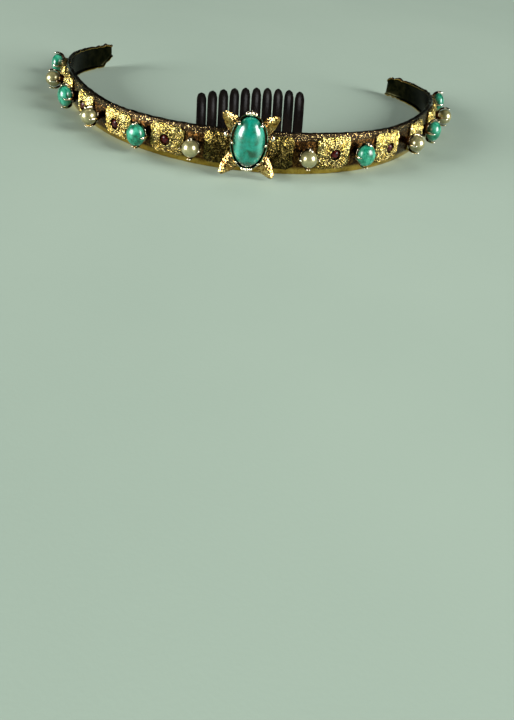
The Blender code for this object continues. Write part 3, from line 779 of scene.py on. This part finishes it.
def panel(batch, station, half_width, bare, has_stone, seed):
    """A domed square cushion with a frilled edge, a net of ridges and, for a stone, a beaded recess."""
    angle = turn_angles(PANEL_POINTS)
    half_height = (band_row(station)[0] - bare) / 2
    along, up = np.cos(angle), np.sin(angle)
    reach = (np.abs(along) ** PANEL_CORNER + np.abs(up) ** PANEL_CORNER) ** (-1 / PANEL_CORNER)
    reach *= 1 - PANEL_HOLLOW * (1 + np.cos(4 * angle)) / 2
    frill = 1 - 0.022 * np.abs(np.sin(13 * angle + seed)) - 0.008 * np.sin(29 * angle + 2 * seed)
    core = BEZEL_RADIUS if has_stone else 0.0
    rows, reliefs = [], []

    def spread(share, edge):
        inner = core * (1 - share)
        wide = inner + share * reach * half_width * edge
        high = inner + share * reach * half_height * edge
        return wide * along, high * up

    def put(u, v, lift, relief):
        rows.append((u, v, lift + 0 * u))
        reliefs.append(relief + 0 * angle)

    for share in (0.02, 0.35, 0.7, 0.97):
        put(*spread(share, 1.0), -PANEL_EMBED, 0.1)
    for lift, relief in ((0.1, 0.1), (PANEL_LIP - 0.1, 0.3)):
        put(*spread(1.0, frill), lift, relief)
    for share in np.linspace(0.995, 0.0 if has_stone else 0.06, PANEL_RINGS):
        u, v = spread(share, 1 + (frill - 1) * share**6)
        radius = np.hypot(u, v * half_width / half_height)
        net = lace(radius, angle, seed)
        fade = min(1.0, (1.03 - share) / 0.06, (share + 0.02) / 0.1 if has_stone else 1.0)
        petals = 0.5 + 0.5 * np.cos(PETALS * angle + 1.2 * np.sin(radius + seed))
        dome = PANEL_RIM + (PANEL_CROWN - PANEL_RIM) * (1 - share**PANEL_DOME)
        height = (net - 1) * NET_DEPTH * fade + (petals - 0.5) * PETAL_DEPTH * fade
        # Painted shade: the relief values fall towards the bottom of each panel and round its middle,
        # by the stone's recess, so the material draws these parts darker.
        recess_shade = (1 - min(1.0, share / 0.36)) * (1 - 0.6 * petals)
        shade = (0.72 + 0.28 * np.clip(v / half_height, -1, 1)) * (1 - 0.8 * recess_shade)
        relief = 0.06 + 0.9 * shade * net * (0.65 + 0.35 * petals)
        put(u, v, dome + height, np.clip(relief, 0, 1))
    # The rows down into the recess take relief values near 0: painted shade in the recess.
    if has_stone:
        grains = (0.5 + 0.5 * np.cos(BEZEL_GRAINS * angle)) ** 1.5
        for radius, lift, rise, relief in BEZEL_ROWS:
            put(radius * along, radius * up, PANEL_CROWN + lift + rise * grains, relief)
    u, v, lift = (np.array(column(rows, i)) for i in range(3))
    level = panel_level(station) + v
    points = on_band(station + u, face_out(station + u, level) + lift, level)
    batch.grid(points, np.array(reliefs))


def setting_cup(batch, where, half, out):
    """The turned cup on its post behind a stone."""
    width, height, depth = (size + SEAT_GAP for size in half)

    def seat(share):
        return out - depth * math.sqrt(1 - share**2)

    low, edge = seat(0), seat(0.68)
    foot, foot_out = CUP_FOOT
    profile = [(foot, foot_out), (0.36, foot_out + 0.3), (0.42, low - 0.9), (0.5, low - 0.55)]
    profile += [(0.66, edge - 0.42), (0.76, edge - 0.15), (0.78, edge)]
    profile += [(0.76, edge + 0.06), (0.7, edge + 0.02)]
    profile += [(share, seat(share)) for share in (0.6, 0.45, 0.25, 0.08)]
    points = turned(profile, 40, (width, height))
    flute = 1 + 0.03 * np.cos(10 * turn_angles(40))
    points[3:8, :, :2] *= flute[None, :, None]
    # Painted shade: the seat under the stone takes relief 0, the foot 0.2.
    relief = np.array([0.2] * 5 + [0.5] * 4 + [0.0] * 4)[:, None]
    batch.grid(where(points), relief)


def setting_claw(batch, where, half, out, bearing, widths):
    """A claw that rises past a stone and closes over its front."""
    angle = math.radians(bearing)
    away = np.array((math.cos(angle), math.sin(angle), 0.0))
    radius = half[0] if abs(away[0]) > 0.5 else half[1]
    reach = SEAT_GAP + CLAW_THICK / 2
    knots = [away * radius * CLAW_FOOT[0] + (0, 0, out - half[2] * CLAW_FOOT[1])]
    for degrees in CLAW_TURNS:
        turn = math.radians(degrees)
        away_by = (radius + reach) * math.cos(turn)
        knots.append(away * away_by + (0, 0, out + (half[2] + reach) * math.sin(turn)))
    count = 26
    path = curve_through(knots, count)
    share = np.linspace(0, 1, count)
    taper = np.sqrt(np.clip((1 - share) / 0.09, 0.05, 1))
    wide = (widths[0] + (widths[1] - widths[0]) * share) * taper
    deep = CLAW_THICK * (1 - 0.25 * share**2) * np.clip(taper, 0.3, 1)
    points = sweep(path, wide, deep, np.cross(away, (0, 0, 1.0)), sides=14, square=3.0)
    # Painted shade: relief rises from the root, behind the stone, to the tip.
    batch.grid(where(points), (0.15 + 0.8 * np.clip((share - 0.35) / 0.3, 0, 1))[:, None])


def stone_stations():
    """Each claw-set stone: its kind, side, number and station."""
    for side, stations in (("left", LEFT_STONES), ("right", RIGHT_STONES)):
        for i, station in enumerate(stations):
            yield ("pearl", "turquoise")[i % 2], side, i // 2 + 1, station


def stone_panels():
    """Each panel with a stone: its side, number and row."""
    for side, rows in (("left", LEFT_PANELS), ("right", RIGHT_PANELS)):
        for i, row in enumerate(rows):
            yield side, i + 1, row


def stone_size(kind):
    """Half sizes of a claw-set stone, and how far out its centre lies."""
    if kind == "pearl":
        return (PEARL_RADIUS,) * 3, PEARL_OUT
    return TURQUOISE_HALF, TURQUOISE_OUT


def clip_loop(batch, station):
    """The soldered loop round one end of the comb's spine, edges rounded."""
    depth, height = (size / 2 + GAP for size in SPINE_SIZE)
    back = SPINE_OUT - depth - CLIP_WALL
    angle = turn_angles(64)
    c, s = np.cos(angle), np.sin(angle)
    size = (np.abs(c) ** 7 + np.abs(s) ** 7) ** (-1 / 7)
    out = (CLIP_FRONT + back) / 2 + ((CLIP_FRONT - back) / 2 - CLIP_WALL / 2) * size * c
    level = SPINE_LEVEL + (height + CLIP_WALL / 2) * size * s
    section = turn_angles(12, 0.5)
    half = (CLIP_STATIONS[1] - CLIP_STATIONS[0]) / 2
    wide = half * np.sign(np.cos(section)) * np.abs(np.cos(section)) ** 0.35
    thick = CLIP_WALL / 2 * np.sign(np.sin(section)) * np.abs(np.sin(section)) ** 0.5
    spread_out = out[:, None] + thick * c[:, None]
    spread_level = level[:, None] + thick * s[:, None]
    points = on_band(station + wide[None, :] + 0 * spread_out, spread_out, spread_level)
    batch.grid(points, 0.3, wrap_rows=True)


def build_band():
    """The plate with the comb's loops, the panels, and the cups and claws."""
    shell = Batch()
    band_shell(shell)
    for sign in (-1, 1):
        clip_loop(shell, CENTRE + sign * sum(CLIP_STATIONS) / 2)
    shell.make("band_shell", plate_gold(), "gold", "band", sharp=50)

    panels = {"left": Batch(), "right": Batch()}
    for side, number, (station, half_width, bare) in stone_panels():
        panel(panels[side], station, half_width, bare, True, number * 3 + (side == "left"))
    plain = Batch()
    for number, (station, half_width, bare) in enumerate(PLAIN_PANELS):
        panel(plain, station, half_width, bare, False, PLAIN_SEED + number)
    look = gold("gold_panels", PANEL_TONES)
    for side, batch in panels.items():
        batch.make(f"band_panels_{side}", look, "gold")
    # The plain panels get the darker tones, painted shade.
    plain.make("band_plain_panels", gold("gold_plain_panels_shaded", PLAIN_SHADED_TONES), "gold")

    settings = Batch()
    for kind, _, _, station in stone_stations():
        half, out = stone_size(kind)
        where = local_frame(station, stone_level(station))
        setting_cup(settings, where, half, out)
        for bearing, root, tip in CLAWS:
            setting_claw(settings, where, half, out, bearing, (root, tip))
    settings.make("stone_settings", claw_gold(), "gold")


def cut_stone(name, station, level, out, look):
    """A round brilliant: table, star, kite and girdle facets, and a pavilion."""
    points = []
    for share, rise, phase, sides in GARNET_ROWS:
        radius = GARNET_RADIUS * share
        for angle in turn_angles(sides, phase):
            points.append((radius * math.cos(angle), radius * math.sin(angle), rise + out))
    bm = bmesh.new()
    for point in local_frame(station, level)(np.array(points)) * MM:
        bm.verts.new(point)
    bmesh.ops.convex_hull(bm, input=bm.verts)
    mesh = bpy.data.meshes.new(name)
    bm.to_mesh(mesh)
    bm.free()
    place(name, mesh, look, "red_glass", name.replace("stone_", ""))


def build_stones():
    """The pearls, the small turquoises and the red stones."""
    looks = {"pearl": pearl_look()}
    looks["turquoise"] = turquoise_look("turquoise_green", TURQUOISE_TONES, 2.2, 0.28)
    red = garnet_look()
    for kind, side, number, station in stone_stations():
        half, out = stone_size(kind)
        batch = Batch()
        points = ball((0, 0, 0), 1.0, 48, 30) * np.array(half)
        batch.grid(local_frame(station, stone_level(station))(points + (0, 0, out)))
        name = f"{kind}_{side}_{number}"
        batch.make("stone_" + name, looks[kind], kind, name)
    for side, number, (station, _, _) in stone_panels():
        level = panel_level(station)
        out = float(face_out(station, level)) + PANEL_CROWN - RECESS_DEPTH - GARNET_CULET + GAP
        cut_stone(f"stone_garnet_{side}_{number}", station, level, out, red)


def painted_side_reflection(across, up):
    """Relief values that are 1 in a soft upright band at either side of a dome, fading to its ends:
    where the material paints a pale reflection.
    """
    ends = np.clip(1 - (up / 0.95) ** 2, 0, 1)
    return 0.5 + 0.5 * ends * np.exp(-(((np.abs(across) - SIDE_REFLECTION_AT) / SIDE_REFLECTION_SPREAD) ** 2))


def oval_frame():
    """Points from the middle of the centre ornament's oval into the row frame."""
    return local_frame(CENTRE, STAR_LEVEL + OVAL_RISE)


def build_cabochon():
    """The large oval turquoise: a flat back, a short wall and a high dome."""
    dome = CABOCHON_FRONT - CABOCHON_SHOULDER
    profile = list(CABOCHON_EDGE)
    for degrees in range(6, 88, 4):
        turn = math.radians(degrees)
        profile.append((math.cos(turn) ** 0.9, CABOCHON_SHOULDER + dome * math.sin(turn) ** 1.05))
    batch = Batch()
    points = turned(profile, 72, CABOCHON_HALF)
    # The relief values here mark the painted reflection along the long sides.
    relief = painted_side_reflection(points[..., 0] / CABOCHON_HALF[0], points[..., 1] / CABOCHON_HALF[1])
    batch.grid(oval_frame()(points), relief)
    look = turquoise_look("turquoise_cabochon", CABOCHON_TONES, 4.0, 0.7)
    batch.make("stone_cabochon", look, "turquoise", "centre_cabochon")


def star_leaf(batch, where, across, up, seed):
    """A blunt pointed leaf with a ridge along it and bark-like grooves."""
    root = np.array((STAR_ROOT[0] * across, STAR_ROOT[1] * up - OVAL_RISE, 0))
    tip = np.array((STAR_TIP[0] * across, STAR_TIP[1] * up - OVAL_RISE, 0))
    rows, sides = 84, 44
    share = np.linspace(0, 1, rows)
    wide, deep, out = (eased(share, LEAF_ROWS, number) for number in (1, 2, 3))
    path = root + (tip - root) * share[:, None] + np.stack((0 * out, 0 * out, out), 1)
    side = np.cross(tip - root, (0, 0, 1.0))
    points = sweep(path, wide, deep, side / np.linalg.norm(side), sides, square=1.3)
    spread = points - path[:, None]
    angle = turn_angles(sides, 0.5)
    ring = np.stack((0 * angle, np.cos(angle) * BARK_RING, np.sin(angle) * BARK_RING), -1)
    field = ring[None] + np.stack((share * BARK_RUN, 0 * share, 0 * share), -1)[:, None]
    bark = hills(field, BARK_SIZES[0], seed) + 0.5 * hills(field, BARK_SIZES[1], seed + 7)
    groove = 1 - np.abs(bark) * 2.2
    fade = np.clip(np.minimum(wide, deep * 2) / 2.0, 0.1, 1)[:, None]
    length = np.linalg.norm(spread, axis=-1, keepdims=True) + 1e-6
    points = points + spread / length * (BARK_DEPTH * np.clip(groove, -1, 1) * fade)[..., None]
    # Relief values rise from root to tip, so each leaf is drawn darker at its root and in its grooves.
    lighter = np.clip(0.5 * share - 0.05, 0, 1)[:, None]
    batch.grid(where(points), np.clip(lighter + 0.45 * groove, 0.05, 1))


def crown_wall(batch, where):
    """The oval gallery under the cabochon, fluted outside, with a scalloped rim."""
    angle = turn_angles(192)
    scallop = np.abs(np.sin(12 * angle)) ** 0.8
    flute = 0.5 + 0.5 * np.cos(24 * angle)
    rows, relief = [], []
    for wide, high, out, wave, groove, value in CROWN_ROWS:
        shrink = groove * flute
        across, up = (wide - shrink) * np.cos(angle), (high - shrink) * np.sin(angle)
        rows.append(np.stack((across, up, out + wave * (scallop - 0.5)), -1))
        # Relief values from the table: painted shade at the foot and inside, and darker in the flutes.
        relief.append(value - groove * flute)
    batch.grid(where(np.array(rows)), np.clip(np.array(relief), 0, 1))


def build_centre():
    """The four leaves, and the crown with its beads, arms, claws and riveted post."""
    where = oval_frame()
    leaves = Batch()
    for seed, (across, up) in enumerate(((-1, -1), (-1, 1), (1, -1), (1, 1))):
        star_leaf(leaves, where, across, up, 3.1 * seed)
    look = gold("gold_leaves", LEAF_TONES, (0.14, 0.3))
    leaves.make("star_leaves", look, "centre_gold", "centre_setting")

    crown = Batch()
    crown_wall(crown, where)
    across, up, out = SIDE_BEAD_AT
    for sign in (-1, 1):
        crown.grid(where(ball((sign * across, up, out), SIDE_BEAD, 24, 14)), 0.9)
        path = curve_through([(sign * x, up, out) for x in (SIDE_ARM_ROOT, 5.0, across)], 10)
        arm = sweep(path, np.linspace(1.6, 0.9, 10), np.linspace(1.0, 0.7, 10), (0, 1.0, 0))
        crown.grid(where(arm), 0.4)
    wide, high, out = CROWN_RIM
    for bearing, radius in RIM_BEADS:
        angle = math.radians(bearing)
        middle = (wide * math.cos(angle), high * math.sin(angle), out)
        crown.grid(where(ball(middle, radius, 24, 14)), 0.95)
    for bearing in OVAL_CLAW_BEARINGS:
        angle = math.radians(bearing)
        away = np.array((math.cos(angle), math.sin(angle), 0.0))
        knots = [away * (wide - inset, high - inset, 0) + (0, 0, out) for inset, out in OVAL_CLAW_ROWS]
        share = np.linspace(0, 1, 22)
        taper = np.sqrt(np.clip((1 - share) / 0.12, 0.06, 1))
        side = np.cross(away, (0, 0, 1.0))
        widths, depths = (1.1 - 0.4 * share) * taper, CLAW_THICK * np.clip(taper, 0.3, 1)
        claw = sweep(curve_through(knots, 22), widths, depths, side, 14)
        # Painted shade: each claw is darker at its root under the cabochon.
        crown.grid(where(claw), (0.3 + 0.6 * np.clip(share * 2 - 0.5, 0, 1))[:, None])
    rivet = turned(POST_ROWS, 32) + (0, POST_LEVEL - STAR_LEVEL - OVAL_RISE, 0)
    crown.grid(where(rivet), 0.5)
    crown.make("crown_setting", claw_gold(), "centre_gold", sharp=60)


def build_comb():
    """The comb's teeth, bowed up and rising to an arched line of tips, and its spine."""
    batch = Batch()
    share = np.linspace(0, 1, 44) ** 0.8
    for index in range(TEETH):
        across = (index - (TEETH - 1) / 2) * TOOTH_PITCH
        root = on_band(CENTRE + across, TOOTH_ROOT_OUT, SPINE_LEVEL)
        level = TOOTH_TIP_LEVEL + TOOTH_TIP_SLOPE * across - TOOTH_TIP_ARCH * across**2
        tip = np.array((CENTRE + across, TOOTH_TIP_BACK, level)) + SHIFT
        path = root + (tip - root) * share[:, None]
        path[:, 2] += TOOTH_BOW * 4 * share * (1 - share)
        wide, deep = (eased(share, TOOTH_ROWS, number, 3) for number in (1, 2))
        batch.grid(sweep(path, wide, deep, (1.0, 0, 0), 16, 2.8))
    stations = np.linspace(-SPINE_END, SPINE_END, 90)
    path = on_band(CENTRE + stations, SPINE_OUT, SPINE_LEVEL)
    ends = np.sqrt(np.clip((SPINE_END - np.abs(stations)) / 0.8, 0.12, 1))
    batch.grid(sweep(path, SPINE_SIZE[1] * ends, SPINE_SIZE[0] * ends, (0, 0, 1.0), 18, 3.2))
    batch.make("hair_comb", comb_look(), "comb_plastic", "comb")


def build_stage():
    """A plain floor, in square tiles."""
    count = FLOOR_TILES + 1
    steps = np.linspace(-FLOOR_REACH, FLOOR_REACH, count)
    points = [(x, y, 0.0) for y in steps for x in steps]
    corners = [j * count + i for j in range(FLOOR_TILES) for i in range(FLOOR_TILES)]
    faces = [(corner, corner + 1, corner + count + 1, corner + count) for corner in corners]
    mesh = bpy.data.meshes.new("floor")
    mesh.from_pydata(points, [], faces)
    mesh.materials.append(floor_look())
    floor = bpy.data.objects.new("floor", mesh)
    bpy.context.scene.collection.objects.link(floor)


def area_light(name, direction, distance, size, power):
    """A soft box that faces the origin."""
    data = bpy.data.lights.new(name, "AREA")
    data.shape, data.size, data.size_y = "RECTANGLE", size[0], size[1]
    data.energy = power
    made = bpy.data.objects.new(name, data)
    bpy.context.scene.collection.objects.link(made)
    away = Vector(direction).normalized()
    made.location = away * distance
    made.rotation_euler = away.to_track_quat("Z", "Y").to_euler()


def build_light_and_camera():
    """The camera, a soft box at either side of it, a faint high light and a dim surrounding."""
    ahead = Vector(CAMERA_AHEAD).normalized()
    up = Vector(CAMERA_UP)
    up = (up - ahead * up.dot(ahead)).normalized()
    right = ahead.cross(up)
    data = bpy.data.cameras.new("camera")
    data.sensor_fit, data.sensor_width, data.lens = "AUTO", CAMERA_SENSOR, CAMERA_LENS
    data.clip_start = CAMERA_NEAR
    camera = bpy.data.objects.new("camera", data)
    bpy.context.scene.collection.objects.link(camera)
    turn = Matrix((right, up, -ahead)).transposed().to_4x4()
    turn.translation = (Vector(CAMERA_AT) + Vector(SHIFT)) * MM
    camera.matrix_world = turn
    bpy.context.scene.camera = camera

    for name, sideways, forward, distance, size, power in SIDE_LIGHTS:
        area_light(name, forward * ahead + sideways * right, distance, size, power)
    area_light(*HIGH_LIGHT)
    world = bpy.data.worlds.new("surroundings")
    world.use_nodes = True
    background = world.node_tree.nodes["Background"]
    background.inputs["Color"].default_value = WORLD_TONE
    background.inputs["Strength"].default_value = WORLD_STRENGTH
    bpy.context.scene.world = world
    bpy.context.scene.view_settings.view_transform = "Standard"


build_band()
build_stones()
build_cabochon()
build_centre()
build_comb()
build_stage()
build_light_and_camera()
